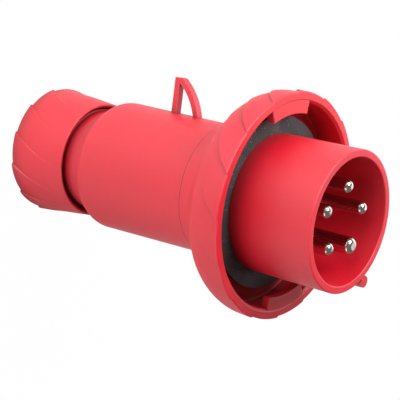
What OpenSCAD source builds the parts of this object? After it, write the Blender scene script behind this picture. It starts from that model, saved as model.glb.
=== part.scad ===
// Industrial pin and sleeve plug, five poles, with a bayonet locking ring and a cable gland.
// The plug stands on the rear face of its gland nut. +Z runs along the axis towards the contacts,
// and the hanging loop points along +Y.

/* [Shroud] */
// Outside radius of the protecting shroud
shroud_r = 31.75; // [30.8:0.05:32.6]
// Wall of the shroud
shroud_wall = 3.4; // [2.6:0.1:4]
// Length of the shroud in front of the gasket
shroud_reach = 42; // [38:0.5:46]
// Depth from the shroud's rim to its floor
shroud_depth = 41; // [37:0.5:44]
// Thickness of the floor that the contacts pass through
floor_t = 5; // [4.5:0.1:7]
// Rounding of the shroud's rim
rim_round = 0.5; // [0.3:0.1:1.2]
// Width of the key's stem
key_stem_w = 2.6; // [2:0.1:3.4]
// Radius of the key's round head
key_head_r = 2.8; // [2.4:0.1:3]
// Height of the key's head centre above the shroud
key_rise = 4; // [3.4:0.1:4.2]
// Angle of the key and the earth contact
key_angle = -54; // [-56:0.5:-52]
// Gap between the key's front end and the shroud's rim
key_setback = 1.2; // [0.9:0.1:4]

/* [Flange] */
// Radius of the hub that the locking ring turns on
hub_r = 32.2; // [31:0.1:33.4]
// Length of the hub
hub_len = 6; // [5.6:0.1:8]
// Radius of the flange behind the gasket
flange_r = 39.6; // [38:0.1:40.8]
// Thickness of the flange
flange_t = 3; // [2:0.1:4]
// Thickness of the gasket
gasket_t = 2; // [1.5:0.1:3]
// Radius of the skirt that plugs into the housing
skirt_r = 27.2; // [26.8:0.1:27.6]
// Length of the skirt
skirt_len = 10; // [9:0.1:13]
// Wall of the skirt
skirt_wall = 3.2; // [2.6:0.1:3.4]
// Thickness of the cord of the sealing ring on the skirt
joint_seal_d = 1.2; // [1:0.1:1.5]

/* [Contacts] */
// Radius of the circle that the contacts stand on
contact_circle_r = 14.9; // [14.5:0.05:15.2]
// Radius of a phase contact
phase_r = 3; // [2.8:0.05:3.3]
// Radius of the earth contact
earth_r = 4; // [3.7:0.05:4.3]
// Distance from the shroud's rim back to the contact tips
tip_setback = 2.2; // [1:0.1:5]
// Rounding of a contact's tip
tip_round = 2.3; // [1:0.1:2.4]
// Radius of a phase terminal
phase_terminal_r = 5.25; // [4.9:0.05:5.6]
// Radius of the earth terminal
earth_terminal_r = 6; // [5.6:0.05:6.3]
// Length of a terminal behind its collar
terminal_len = 27; // [25:0.5:32]
// Height of the collar between contact and terminal
collar_t = 4; // [3:0.1:5]
// How much thicker a contact is where it passes the floor
root_step = 0.3; // [0.2:0.05:0.5]
// How far the collar stands out from the terminal
collar_step = 0.95; // [0.7:0.05:1.1]
// Radius of a terminal's wire hole
wire_r = 3.4; // [3.2:0.05:3.6]
// Depth of the wire hole
wire_depth = 17; // [16:0.5:20]
// Thickness of a clamping leaf
leaf_t = 0.7; // [0.5:0.1:0.9]
// Width of a clamping leaf
leaf_w = 4.2; // [3.4:0.1:4.4]

/* [Terminal screws] */
// Shank radius of a phase terminal screw
screw_r = 2.4; // [2:0.05:2.6]
// Head radius of a phase terminal screw
screw_head_r = 3.5; // [3.2:0.05:3.8]
// Height of a terminal screw's head
screw_head_t = 2; // [1.8:0.1:2.2]
// How much larger the earth terminal's screws are
earth_screw_extra = 0.4; // [0:0.05:0.5]
// Distance between a terminal's two screws
screw_pitch = 8; // [7.8:0.1:8.6]
// Width of the screws' driver slots
slot_w = 1; // [0.8:0.1:1.4]

/* [Contact carrier] */
// Thickness of the carrier's disc
carrier_t = 9; // [8:0.1:11]
// Length of the walls between the terminals
partition_len = 19; // [14:0.5:22]
// Thickness of the walls between the terminals
partition_t = 1.8; // [1.2:0.1:2.4]
// Shank radius of the carrier's screw
carrier_screw_r = 2.4; // [2:0.05:2.6]
// Head radius of the carrier's screw
carrier_head_r = 4.2; // [3.6:0.1:4.6]
// Thickness of the cord of the seals round the contacts
pin_seal_d = 1.8; // [1.4:0.1:2]

/* [Locking ring] */
// Length of the locking ring
ring_len = 38.2; // [37:0.1:39]
// Largest radius of the locking ring
ring_max_r = 52; // [51:0.1:53]
// Distance from the ring's rim back to its largest radius
crown_back = 5.5; // [4:0.1:7]
// Radius of the rounded crown
crown_r = 19.8; // [19:0.1:21]
// Wall round the ring's opening, at its widest
mouth_wall = 5; // [4.6:0.1:5.6]
// Width of the bevel at the edge of the ring's opening
mouth_bevel = 1.2; // [0.8:0.1:1.6]
// Least wall round the ring's opening, where the skin leans in behind it
least_wall = 2.2; // [2:0.1:2.4]
// Rounding of the ring's rim
ring_rim_round = 0.7; // [0.5:0.1:1.2]
// Wall of the flared part
flare_wall = 2.6; // [2.2:0.1:3]
// Thickness of the web inside the ring
web_t = 3.4; // [2.6:0.1:3.8]
// Number of swirled grip petals
ring_petals = 16; // [12:1:20]
// Height of the step at a petal's edge, before it fades to either end
ring_petal_step = 1.2; // [0.6:0.1:1.3]
// Angle of a petal edge at the rim
ring_petal_start = 117; // [100:0.5:140]
// How far the two bayonet lugs stand in from the ring's opening
lug_rise = 5.2; // [4.2:0.1:6]
// Angle that each lug spans
lug_span = 33.5; // [25:0.5:40]
// Thickness of the lugs
lug_t = 4; // [3:0.1:5]
// Distance from the rim back to the lugs
lug_setback = 0.3; // [0.2:0.1:1]
// Angle of the middle of the first lug
lug_angle = 100.5; // [90:0.5:110]
// Angle that the ring turns through
ring_swing = 60; // [40:1:75]

/* [Housing] */
// Radius of the barrel at its front
barrel_front_r = 30.6; // [30.4:0.1:31]
// Radius of the barrel at its rear
barrel_rear_r = 31.5; // [31:0.1:32]
// Length of the barrel
barrel_len = 65; // [62:0.5:70]
// Length of the rounded rear shoulder
shoulder_len = 4; // [3:0.5:6]
// Drop of the rounded rear shoulder
shoulder_drop = 1.6; // [1:0.1:2.2]
// Thickness of the housing's rear wall
rear_wall_t = 5; // [4:0.1:7]
// Wall of the tube that the locking ring turns on
journal_wall = 1.9; // [1.7:0.1:2.1]
// Length of the tube in front of the barrel
journal_len = 18; // [17.5:0.1:19]
// Length of the ring's bearing on the tube
bearing_len = 5; // [3:0.1:7]
// Play of the ring along the axis
axial_play = 0.3; // [0.2:0.05:0.5]
// Gap all round between parts that turn on each other
running_gap = 0.08; // [0.04:0.01:0.1]

/* [Hanging loop] */
// Thickness of the loop
loop_t = 3.5; // [2.5:0.1:5]
// Height of the loop's top above the axis
loop_top_r = 48; // [46:0.5:52]
// Distance from the barrel's rear face to the loop
loop_z = 30.5; // [28:0.5:34]
// Length of the loop along the axis
loop_len = 16.4; // [15:0.1:18]
// Width of the straight rear leg
loop_leg_w = 3; // [2.4:0.1:4]
// Width of the curved front leg
loop_bow_w = 2.8; // [2.2:0.1:3.6]
// Radius of the curved front leg
loop_bow_r = 30.5; // [28:0.5:34]
// How far the curved leg's centre lies below the loop's top
loop_bow_drop = 24.9; // [23:0.1:27]

/* [Cable gland] */
// Radius of the neck, over its thread
neck_r = 26; // [25.6:0.1:26.2]
// Length of the neck
neck_len = 33; // [31:0.5:35]
// Length of bare neck between the nut and the barrel
neck_gap = 12.5; // [11:0.1:14]
// Depth of the thread on the neck
thread_depth = 1; // [0.8:0.05:1.2]
// Radius of the socket for the seal
socket_r = 20; // [18.5:0.1:21]
// Radius of the rubber seal's hole, which grips the cable
cable_r = 10.5; // [8:0.1:12]
// Length of the seal
seal_len = 12; // [9:0.5:13]
// Radius of the passage from the gland to the terminals
passage_r = 15; // [13:0.1:17]
// Length of the clamping cage's fingers
finger_len = 6; // [5:0.5:8]
// Number of the cage's fingers
fingers = 10; // [6:1:14]
// Width of the slots between the fingers
finger_slot_w = 2; // [1.4:0.1:3]
// Radius of the cage's opening
cage_bore_r = 14.5; // [12.5:0.1:15.5]
// Thickness of the slip ring
slip_ring_t = 3; // [2:0.1:4]
// Radius of the slip ring's opening
slip_bore_r = 14; // [12.5:0.1:16]

/* [Gland nut] */
// Length of the nut
nut_len = 32.5; // [31:0.5:34]
// Radius of the nut at its front
nut_front_r = 28.5; // [28.2:0.1:29.2]
// Radius of the nut at its rear
nut_rear_r = 32; // [31:0.1:33]
// Width of the bevel at the nut's rear edge
nut_bevel = 1; // [0.5:0.1:1.6]
// Thickness of the nut's front lip
nut_lip_t = 1.1; // [0.9:0.1:1.5]
// Depth of the bevel inside the front lip
nut_mouth_bevel = 2.5; // [1.5:0.1:4]
// Thickness of the nut's rear wall
nut_wall_t = 5; // [4:0.1:6]
// Radius of the hole for the cable
nut_hole_r = 13; // [12:0.1:15]
// Number of swirled grip petals
nut_petals = 12; // [8:1:16]
// Height of the step at a petal's edge, at the rear
nut_petal_step = 0.9; // [0.5:0.1:1.2]
// Angle of a petal edge at the rear
nut_petal_start = 101.5; // [90:0.5:120]
// Angle that a petal edge sweeps along the nut
nut_sweep = 25; // [10:1:35]

/* [Hidden] */
$fn = 96;

cut = 0.5;             // how far a cutting shape runs past the face it cuts
part_gap = 0.1;        // gap all round between parts that plug together
thread_gap = 0.3;      // gap all round between the nut and the neck
end_chamfer = 1;       // chamfer at the ends of the seal's hole
arc_steps = 8;         // straight steps that stand for a rounded edge
cord_facets = 32;      // facets round a thin sealing cord
bow_facets = 160;      // facets round the loop's large circle

// Places along the axis, from the nut's rear face forward
slip_z = nut_wall_t;
cage_z = slip_z + slip_ring_t;
barrel_z = nut_len + neck_gap;
neck_z = barrel_z - neck_len;
seal_z = neck_z + finger_len;
passage_z = seal_z + seal_len;
cavity_z = barrel_z + rear_wall_t;
journal_z = barrel_z + barrel_len;
ring_z = journal_z + axial_play;
ring_top = ring_z + ring_len;
hub_z = journal_z + journal_len;
flange_z = hub_z + hub_len;
gasket_z = flange_z + flange_t;
face_z = gasket_z + gasket_t;
rim_z = face_z + shroud_reach;
shroud_floor_z = rim_z - shroud_depth;
floor_back_z = shroud_floor_z - floor_t;
web_top = flange_z - axial_play;
carrier_z = floor_back_z - carrier_t;
collar_z = floor_back_z - collar_t;
terminal_z = collar_z - terminal_len;
skirt_z = hub_z - skirt_len;

// Radii that follow from the parts they fit
shroud_in_r = shroud_r - shroud_wall;
bore_r = skirt_r + part_gap;
journal_r = bore_r + journal_wall;
skirt_in_r = skirt_r - skirt_wall;
carrier_r = skirt_in_r - part_gap;
nut_bore_r = neck_r + thread_gap;
nut_lip_r = nut_front_r - nut_lip_t;
thread_core_r = neck_r - thread_depth;
seal_r = socket_r - part_gap;
ring_rear_r = barrel_front_r + running_gap;
ring_mouth_r = ring_max_r - mouth_wall;
lug_in_r = ring_mouth_r - lug_rise;
groove_z = skirt_z + skirt_len / 2;

// The hanging loop: its curved leg meets the barrel loop_len in front of the straight one
loop_bow_y = loop_top_r - loop_bow_drop;
loop_rear_z = barrel_z + loop_z;
bow_z = loop_rear_z + loop_len - sqrt(pow(loop_bow_r, 2) - pow(barrel_front_r - loop_bow_y, 2));

// The ring's flare is a hollow arc that runs smoothly from its narrow end into the crown's arc
crown_z = ring_top - crown_back;
crown_centre_r = ring_max_r - crown_r;
flare_rise = crown_z - ring_z;
flare_inset = ring_rear_r - crown_centre_r;
flare_r = (flare_rise * flare_rise + flare_inset * flare_inset - crown_r * crown_r)
    / (2 * (crown_r - flare_inset));

// Angles of the contacts, counted round from the earth contact
poles = 5;
pole_step = 360 / poles;
earth_angle = key_angle;
l1_angle = key_angle + pole_step;
l2_angle = key_angle + 2 * pole_step;
l3_angle = key_angle + 3 * pole_step;
neutral_angle = key_angle + 4 * pole_step;
phase_angles = [l1_angle, l2_angle, l3_angle, neutral_angle];

// The stop that limits the ring's turn: a tab on the hub in a recess of the web
stop_angle = 180;      // middle of the tab
stop_half = 4;         // half of the angle that the tab spans
stop_rise = 2.6;       // height of the tab above the hub
stop_play = 0.6;       // angle left free at each end of the turn

// Points on an arc round [cx, cy] from angle a0 to a1
function arc(cx, cy, r, a0, a1) = [
    for (i = [0 : arc_steps])
        let (a = a0 + (a1 - a0) * i / arc_steps)
        [cx + r * cos(a), cy + r * sin(a)]
];

// Radius of the locking ring at height z, a depth inside its skin
function ring_inside(z, depth) =
    z > crown_z ? ring_max_r - depth
    : z > ring_z + flare_rise * (flare_r + depth) / (flare_r + crown_r)
        ? crown_centre_r + sqrt(pow(crown_r - depth, 2) - pow(z - crown_z, 2))
    : ring_rear_r + flare_r - sqrt(pow(flare_r + depth, 2) - pow(z - ring_z, 2));

// Outer radius of the locking ring at height z
function ring_outline(z) =
    z > ring_top - ring_rim_round
        ? ring_max_r - ring_rim_round
            + sqrt(max(0, pow(ring_rim_round, 2) - pow(z - ring_top + ring_rim_round, 2)))
    : ring_inside(z, 0);

// How a ring petal's edge sweeps round on its way back from the rim, and fades
swirl_slope = 0.95;    // degrees for each mm, at the rim
swirl_cubic = 0.0033;  // degrees for each cubic mm, as the sweep grows
swirl_limit = 16;      // distance back at which the sweep becomes even
swirl_tail = 3;        // degrees for each mm, behind that
swirl_fade = 30;       // distance back at which the step has faded out
swirl_power = 0.8;     // how the step fades: 1 is in a straight line
swirl_rim_share = 0.5; // share of the step that is left at the rim
swirl_grow = 7;        // distance back at which the step is no longer cut down by the rim
swirl_at_limit = swirl_slope * swirl_limit + swirl_cubic * pow(swirl_limit, 3);
function ring_sweep(back) =
    back < swirl_limit ? swirl_slope * back + swirl_cubic * pow(back, 3)
    : swirl_at_limit + swirl_tail * (min(back, swirl_fade) - swirl_limit);
function ring_step(back) = ring_petal_step
    * min(1, swirl_rim_share + (1 - swirl_rim_share) * back / swirl_grow)
    * pow(max(0, 1 - back / swirl_fade), swirl_power);

// Outer radius, sweep and step of the nut's petals at height z
nut_curve = 1.6;       // how the sweep slows towards the front: 1 is even
nut_fade = 1.8;        // how the step fades towards the front: 1 is in a straight line
function nut_outline(z) =
    z < nut_bevel ? nut_rear_r - nut_bevel + z
    : nut_rear_r + (nut_front_r - nut_rear_r) * (z - nut_bevel) / (nut_len - nut_bevel);
function nut_turn(z) = nut_sweep * (1 - pow(1 - z / nut_len, nut_curve));
function nut_step(z) = nut_petal_step * pow(1 - z / nut_len, nut_fade);

// Where the corners of one petal lie across its width, and how high they stand
rising = [[0, 0], [0.32, 0.35], [0.64, 0.7], [0.97, 1]];
falling = [[0.03, 1], [0.36, 0.7], [0.68, 0.35], [1, 0]];

// A turned solid whose skin is stepped into swirled petals.
// Each station is [height, radius, turn, step], from the lowest to the highest.
module petal_solid(stations, petals, start, corners) {
    per = len(corners);
    n = petals * per;
    points = [
        for (s = stations)
            for (i = [0 : n - 1])
                let (
                    corner = corners[i % per],
                    a = start + (floor(i / per) + corner[0]) * 360 / petals + s[2],
                    r = s[1] - s[3] * (1 - corner[1])
                )
                [r * cos(a), r * sin(a), s[0]]
    ];
    sides = [
        for (j = [0 : len(stations) - 2])
            for (i = [0 : n - 1])
                let (
                    a = j * n + i,
                    b = j * n + (i + 1) % n,
                    c = b + n,
                    d = a + n
                )
                each [[a, d, b], [b, d, c]]
    ];
    bottom = [for (i = [0 : n - 1]) i];
    top = [for (i = [0 : n - 1]) len(stations) * n - 1 - i];
    polyhedron(points = points, faces = concat([bottom, top], sides), convexity = 6);
}

module tube(z, height, outer_r, inner_r) {
    translate([0, 0, z])
        difference() {
            cylinder(h = height, r = outer_r);
            translate([0, 0, -cut])
                cylinder(h = height + 2 * cut, r = inner_r);
        }
}

// A sector of a ring between two angles
module sector(z, height, outer_r, inner_r, a0, a1) {
    translate([0, 0, z])
        rotate([0, 0, a0])
            rotate_extrude(angle = a1 - a0)
                translate([inner_r, 0])
                    square([outer_r - inner_r, height]);
}

module at_contact(angle) {
    rotate([0, 0, angle])
        translate([contact_circle_r, 0, 0])
            children();
}

// ---- cable gland -------------------------------------------------------------------------

module gland_nut() {
    skin_steps = 9;
    skin_len = nut_len - nut_bevel;
    levels = concat(
        [0, nut_bevel / 2],
        [for (i = [0 : skin_steps]) nut_bevel + skin_len * i / skin_steps]
    );
    stations = [for (z = levels) [z, nut_outline(z), nut_turn(z), nut_step(z)]];
    color("crimson")
        difference() {
            petal_solid(stations, nut_petals, nut_petal_start, falling);
            translate([0, 0, -cut])
                cylinder(h = nut_len, r = nut_hole_r);
            translate([0, 0, nut_wall_t])
                cylinder(h = nut_len, r = nut_bore_r);
            translate([0, 0, nut_len - nut_mouth_bevel])
                cylinder(h = nut_mouth_bevel, r1 = nut_bore_r, r2 = nut_lip_r);
            translate([0, 0, nut_len - cut / 2])
                cylinder(h = cut, r = nut_lip_r);
        }
}

module slip_ring() {
    color("gainsboro")
        tube(slip_z, slip_ring_t, nut_bore_r - 2 * thread_gap, slip_bore_r);
}

module clamping_cage() {
    flange_t = neck_z - cage_z;
    color("dimgray")
        difference() {
            union() {
                tube(cage_z, flange_t, thread_core_r - thread_gap, cage_bore_r);
                tube(cage_z, flange_t + finger_len, seal_r, cage_bore_r);
            }
            for (i = [0 : fingers - 1])
                rotate([0, 0, i * 360 / fingers])
                    translate([0, -finger_slot_w / 2, neck_z + cut])
                        cube([socket_r + cut, finger_slot_w, finger_len + cut]);
        }
}

module cable_seal() {
    // two rings that can be torn out for a thicker cable, marked by grooves in the end face
    line_w = 0.6;
    line_depth = 1.5;
    line_places = [0.4, 0.7];
    wall = seal_r - cable_r;
    color("dimgray")
        difference() {
            tube(seal_z, seal_len, seal_r, cable_r);
            translate([0, 0, seal_z])
                cylinder(h = end_chamfer, r1 = cable_r + end_chamfer, r2 = cable_r);
            translate([0, 0, seal_z + seal_len - end_chamfer])
                cylinder(h = end_chamfer, r1 = cable_r, r2 = cable_r + end_chamfer);
            for (share = line_places)
                tube(seal_z - cut, cut + line_depth, cable_r + share * wall + line_w,
                    cable_r + share * wall);
        }
}

// ---- housing -----------------------------------------------------------------------------

// Outline of the loop: x is the distance from the plug's axis, y the height along it
module bow(radius, rear, inner_r, top_r) {
    intersection() {
        translate([inner_r, rear])
            square([top_r - inner_r, loop_len]);
        translate([loop_bow_y, bow_z])
            circle(r = radius, $fn = bow_facets);
    }
}

module hanging_loop() {
    rotate([90, 0, 90])
        translate([0, 0, -loop_t / 2])
            linear_extrude(height = loop_t)
                difference() {
                    bow(loop_bow_r, loop_rear_z, journal_r, loop_top_r);
                    bow(loop_bow_r - loop_bow_w, loop_rear_z + loop_leg_w, 0, loop_top_r);
                }
}

module housing() {
    shoulder_r = (pow(shoulder_len, 2) + pow(shoulder_drop, 2)) / (2 * shoulder_drop);
    shoulder_a = asin(shoulder_len / shoulder_r);
    color("crimson")
        difference() {
            union() {
                rotate_extrude()
                    polygon(concat(
                        [[0, neck_z], [thread_core_r, neck_z], [thread_core_r, barrel_z]],
                        arc(barrel_rear_r - shoulder_r, barrel_z + shoulder_len, shoulder_r,
                            -shoulder_a, 0),
                        [[barrel_front_r, journal_z], [journal_r, journal_z]],
                        [[journal_r, hub_z], [0, hub_z]]
                    ));
                difference() {
                    hanging_loop();
                    cylinder(h = hub_z, r = journal_r - cut);
                }
            }
            translate([0, 0, neck_z - cut])
                cylinder(h = passage_z - neck_z + cut, r = socket_r);
            translate([0, 0, neck_z])
                cylinder(h = barrel_len, r = passage_r);
            translate([0, 0, cavity_z])
                cylinder(h = hub_z, r = bore_r);
        }
}

module joint_seal() {
    color("dimgray")
        rotate_extrude()
            translate([skirt_r - joint_seal_d / 2, groove_z])
                circle(d = joint_seal_d, $fn = cord_facets);
}

// ---- locking ring ------------------------------------------------------------------------

// Even steps from one distance behind the rim to another, without the first
function steps_back(from, to, count) = [for (i = [1 : count]) from + (to - from) * i / count];

module ring_skin() {
    rim_steps = 2;
    crown_steps = 2;
    swirl_steps = 13;
    tail_steps = 3;
    backs = concat(
        [0],
        steps_back(0, ring_rim_round, rim_steps),
        steps_back(ring_rim_round, crown_back, crown_steps),
        steps_back(crown_back, swirl_fade, swirl_steps),
        steps_back(swirl_fade, ring_len, tail_steps)
    );
    rim_face_r = ring_max_r - ring_rim_round;
    stations = [
        [ring_z - cut, ring_rear_r, -ring_sweep(ring_len), 0],
        for (i = [len(backs) - 1 : -1 : 0])
            let (back = backs[i], z = ring_top - back)
            [z, ring_outline(z), -ring_sweep(back), ring_step(back)],
        [ring_top + cut, rim_face_r, 0, ring_step(0)]
    ];
    difference() {
        petal_solid(stations, ring_petals, ring_petal_start, rising);
        for (z = [ring_z - 2 * cut, ring_top])
            translate([0, 0, z])
                cylinder(h = 2 * cut, r = ring_max_r + cut);
    }
}

// The space behind the web, which follows the flare a wall's thickness inside it
module ring_hollow() {
    steps = 12;
    web_z = web_top - web_t;
    bearing_top = ring_z + bearing_len;
    rotate_extrude()
        polygon(concat(
            [[0, ring_z - cut], [journal_r + running_gap, ring_z - cut]],
            [[journal_r + running_gap, bearing_top]],
            [
                for (i = [1 : steps])
                    let (z = bearing_top + (web_z - bearing_top) * i / steps)
                    [max(journal_r + 2 * running_gap, ring_inside(z, flare_wall)), z]
            ],
            [[0, web_z]]
        ));
}

// The ring's opening in front of the web, which keeps a least wall where the skin leans in
module ring_mouth() {
    steps = 6;
    rotate_extrude()
        polygon(concat(
            [[0, web_top]],
            [
                for (i = [0 : steps])
                    let (z = web_top + (crown_z - web_top) * i / steps)
                    [min(ring_mouth_r, ring_inside(z, least_wall)), z]
            ],
            [[ring_mouth_r, ring_top - mouth_bevel], [ring_mouth_r + mouth_bevel, ring_top]],
            [[ring_mouth_r + mouth_bevel, ring_top + cut], [0, ring_top + cut]]
        ));
}

module bayonet_ring() {
    stop_from = stop_angle - ring_swing - stop_half - stop_play;
    stop_to = stop_angle + stop_half + stop_play;
    color("crimson")
        difference() {
            union() {
                difference() {
                    ring_skin();
                    ring_mouth();
                }
                for (half = [0, 180])
                    sector(ring_top - lug_setback - lug_t, lug_t, ring_mouth_r + mouth_bevel + cut, lug_in_r,
                        lug_angle + half - lug_span / 2, lug_angle + half + lug_span / 2);
            }
            ring_hollow();
            translate([0, 0, web_top - web_t - cut])
                cylinder(h = web_t + 2 * cut, r = hub_r + running_gap);
            sector(web_top - web_t - cut, web_t + 2 * cut, hub_r + stop_rise + part_gap,
                hub_r - cut, stop_from, stop_to);
        }
}

// ---- shroud ------------------------------------------------------------------------------

// The key's outline, grown by a gap all round
module key_section(gap) {
    centre_r = shroud_r + key_rise;
    rotate([0, 0, key_angle]) {
        translate([centre_r, 0])
            circle(r = key_head_r + gap);
        translate([shroud_r - shroud_wall / 2, -key_stem_w / 2 - gap])
            square([key_rise + shroud_wall / 2, key_stem_w + 2 * gap]);
    }
}

module key_rib() {
    translate([0, 0, gasket_z])
        linear_extrude(height = rim_z - key_setback - gasket_z)
            key_section(0);
}

module contact_hole(angle, contact_r) {
    at_contact(angle) {
        translate([0, 0, floor_back_z - cut])
            cylinder(h = floor_t + 2 * cut, r = contact_r + root_step + part_gap);
        translate([0, 0, floor_back_z - cut])
            cylinder(h = pin_seal_d + part_gap + cut, r = contact_r + root_step + pin_seal_d + part_gap);
    }
}

module shroud() {
    color("crimson")
        difference() {
            union() {
                rotate_extrude()
                    polygon(concat(
                        [[0, skirt_z], [skirt_r, skirt_z]],
                        [[skirt_r, hub_z], [hub_r, hub_z], [hub_r, flange_z]],
                        [[flange_r, flange_z], [flange_r, gasket_z]],
                        [[shroud_r, gasket_z]],
                        arc(shroud_r - rim_round, rim_z - rim_round, rim_round, 0, 90),
                        arc(shroud_in_r + rim_round, rim_z - rim_round, rim_round, 90, 180),
                        [[shroud_in_r, shroud_floor_z], [0, shroud_floor_z]]
                    ));
                key_rib();
                sector(hub_z, hub_len, hub_r + stop_rise, hub_r - cut,
                    stop_angle - stop_half, stop_angle + stop_half);
            }
            translate([0, 0, skirt_z - cut])
                cylinder(h = floor_back_z - skirt_z + cut, r = skirt_in_r);
            tube(groove_z - joint_seal_d / 2, joint_seal_d, skirt_r + cut,
                skirt_r - joint_seal_d);
            for (angle = phase_angles)
                contact_hole(angle, phase_r);
            contact_hole(earth_angle, earth_r);
            translate([0, 0, floor_back_z - cut])
                cylinder(h = floor_t - blind_wall + cut, r = carrier_screw_r + part_gap / 2);
        }
}

module flange_gasket() {
    color("dimgray")
        difference() {
            tube(gasket_z, gasket_t, flange_r, shroud_r);
            translate([0, 0, gasket_z - cut])
                linear_extrude(height = gasket_t + 2 * cut)
                    key_section(part_gap);
        }
}

// ---- contacts ----------------------------------------------------------------------------

blind_wall = 1;        // floor left in front of the carrier screw's hole, and room past its tip
partition_gap = 1;     // gap from the partition walls to the screw head and to the skirt
head_lift = 0.6;       // gap between a terminal and the heads of its screws
leaf_end = 1;          // distance from the ends of the wire hole to its clamping leaf

// Distance from a contact's axis to the outer face of its clamping leaf
leaf_out = wire_r - leaf_t - part_gap;

// Heights of a terminal's two screws
function screw_heights() =
    let (middle = terminal_z + wire_depth / 2)
    [middle - screw_pitch / 2, middle + screw_pitch / 2];

module contact_carrier() {
    partition_in_r = carrier_head_r + partition_gap;
    partition_w = carrier_r - partition_gap - partition_in_r;
    color("slategray")
        difference() {
            union() {
                translate([0, 0, carrier_z])
                    cylinder(h = carrier_t, r = carrier_r);
                for (i = [0 : poles - 1])
                    rotate([0, 0, key_angle + pole_step * i + pole_step / 2])
                        translate([partition_in_r, -partition_t / 2, carrier_z - partition_len])
                            cube([partition_w, partition_t, partition_len + cut]);
            }
            for (angle = phase_angles)
                carrier_hole(angle, phase_terminal_r);
            carrier_hole(earth_angle, earth_terminal_r);
            translate([0, 0, carrier_z - cut])
                cylinder(h = carrier_t + 2 * cut, r = carrier_screw_r + part_gap);
        }
}

module carrier_hole(angle, terminal_r) {
    at_contact(angle) {
        translate([0, 0, carrier_z - cut])
            cylinder(h = carrier_t + 2 * cut, r = terminal_r + part_gap);
        translate([0, 0, collar_z])
            cylinder(h = collar_t + cut, r = terminal_r + collar_step + part_gap);
    }
}

module carrier_screw() {
    color("silver")
        difference() {
            union() {
                translate([0, 0, carrier_z - screw_head_t])
                    cylinder(h = screw_head_t, r = carrier_head_r);
                translate([0, 0, carrier_z - cut])
                    cylinder(h = carrier_t + floor_t - 2 * blind_wall + cut, r = carrier_screw_r);
            }
            translate([-carrier_head_r - cut, -slot_w / 2, carrier_z - screw_head_t - cut])
                cube([2 * carrier_head_r + 2 * cut, slot_w, slot_w + cut]);
        }
}

module contact(angle, contact_r, terminal_r, shank_r) {
    tip_z = rim_z - tip_setback;
    at_contact(angle)
        difference() {
            rotate_extrude()
                polygon(concat(
                    [[0, terminal_z], [terminal_r, terminal_z], [terminal_r, collar_z]],
                    [[terminal_r + collar_step, collar_z]],
                    [[terminal_r + collar_step, floor_back_z]],
                    [[contact_r + root_step, floor_back_z]],
                    [[contact_r + root_step, shroud_floor_z], [contact_r, shroud_floor_z]],
                    arc(contact_r - tip_round, tip_z - tip_round, tip_round, 0, 90),
                    [[0, tip_z]]
                ));
            translate([0, 0, terminal_z - cut])
                cylinder(h = wire_depth + cut, r = wire_r);
            for (z = screw_heights())
                translate([0, 0, z])
                    rotate([0, 90, 0])
                        cylinder(h = terminal_r + cut, r = shank_r + part_gap / 2);
        }
}

module contact_l1() {
    color("silver")
        contact(l1_angle, phase_r, phase_terminal_r, screw_r);
}

module contact_l2() {
    color("silver")
        contact(l2_angle, phase_r, phase_terminal_r, screw_r);
}

module contact_l3() {
    color("silver")
        contact(l3_angle, phase_r, phase_terminal_r, screw_r);
}

module contact_neutral() {
    color("silver")
        contact(neutral_angle, phase_r, phase_terminal_r, screw_r);
}

module contact_earth() {
    color("silver")
        contact(earth_angle, earth_r, earth_terminal_r, screw_r + earth_screw_extra);
}

module pin_seal(angle, contact_r) {
    at_contact(angle)
        rotate_extrude()
            translate([contact_r + root_step + pin_seal_d / 2, floor_back_z + pin_seal_d / 2])
                circle(d = pin_seal_d, $fn = cord_facets);
}

module pin_seals() {
    color("dimgray") {
        for (angle = phase_angles)
            pin_seal(angle, phase_r);
        pin_seal(earth_angle, earth_r);
    }
}

// The two radial screws of one terminal
module screws_at(angle, terminal_r, shank_r, head_r) {
    head_at = terminal_r + head_lift;
    at_contact(angle)
        for (z = screw_heights())
            translate([0, 0, z])
                rotate([0, 90, 0])
                    difference() {
                        union() {
                            translate([0, 0, leaf_out])
                                cylinder(h = head_at - leaf_out + cut, r = shank_r);
                            translate([0, 0, head_at])
                                cylinder(h = screw_head_t, r = head_r);
                        }
                        translate([-head_r - cut, -slot_w / 2, head_at + screw_head_t - slot_w])
                            cube([2 * head_r + 2 * cut, slot_w, slot_w + cut]);
                    }
}

module terminal_screws() {
    color("silver")
        for (angle = phase_angles)
            screws_at(angle, phase_terminal_r, screw_r, screw_head_r);
}

module earth_screws() {
    color("silver")
        screws_at(earth_angle, earth_terminal_r, screw_r + earth_screw_extra,
            screw_head_r + earth_screw_extra);
}

module clamp_leaves() {
    color("silver")
        for (angle = concat(phase_angles, [earth_angle]))
            at_contact(angle)
                translate([leaf_out - leaf_t, -leaf_w / 2, terminal_z + leaf_end])
                    cube([leaf_t, leaf_w, wire_depth - 2 * leaf_end]);
}

gland_nut();
slip_ring();
clamping_cage();
cable_seal();
housing();
joint_seal();
bayonet_ring();
shroud();
flange_gasket();
contact_carrier();
carrier_screw();
contact_l1();
contact_l2();
contact_l3();
contact_neutral();
contact_earth();
pin_seals();
terminal_screws();
earth_screws();
clamp_leaves();
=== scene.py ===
"""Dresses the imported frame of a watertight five-pole pin and sleeve plug."""

import logging
import math
from dataclasses import dataclass
from enum import Enum
from typing import Any

import bmesh
import bpy
from mathutils import Matrix, Vector


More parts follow.
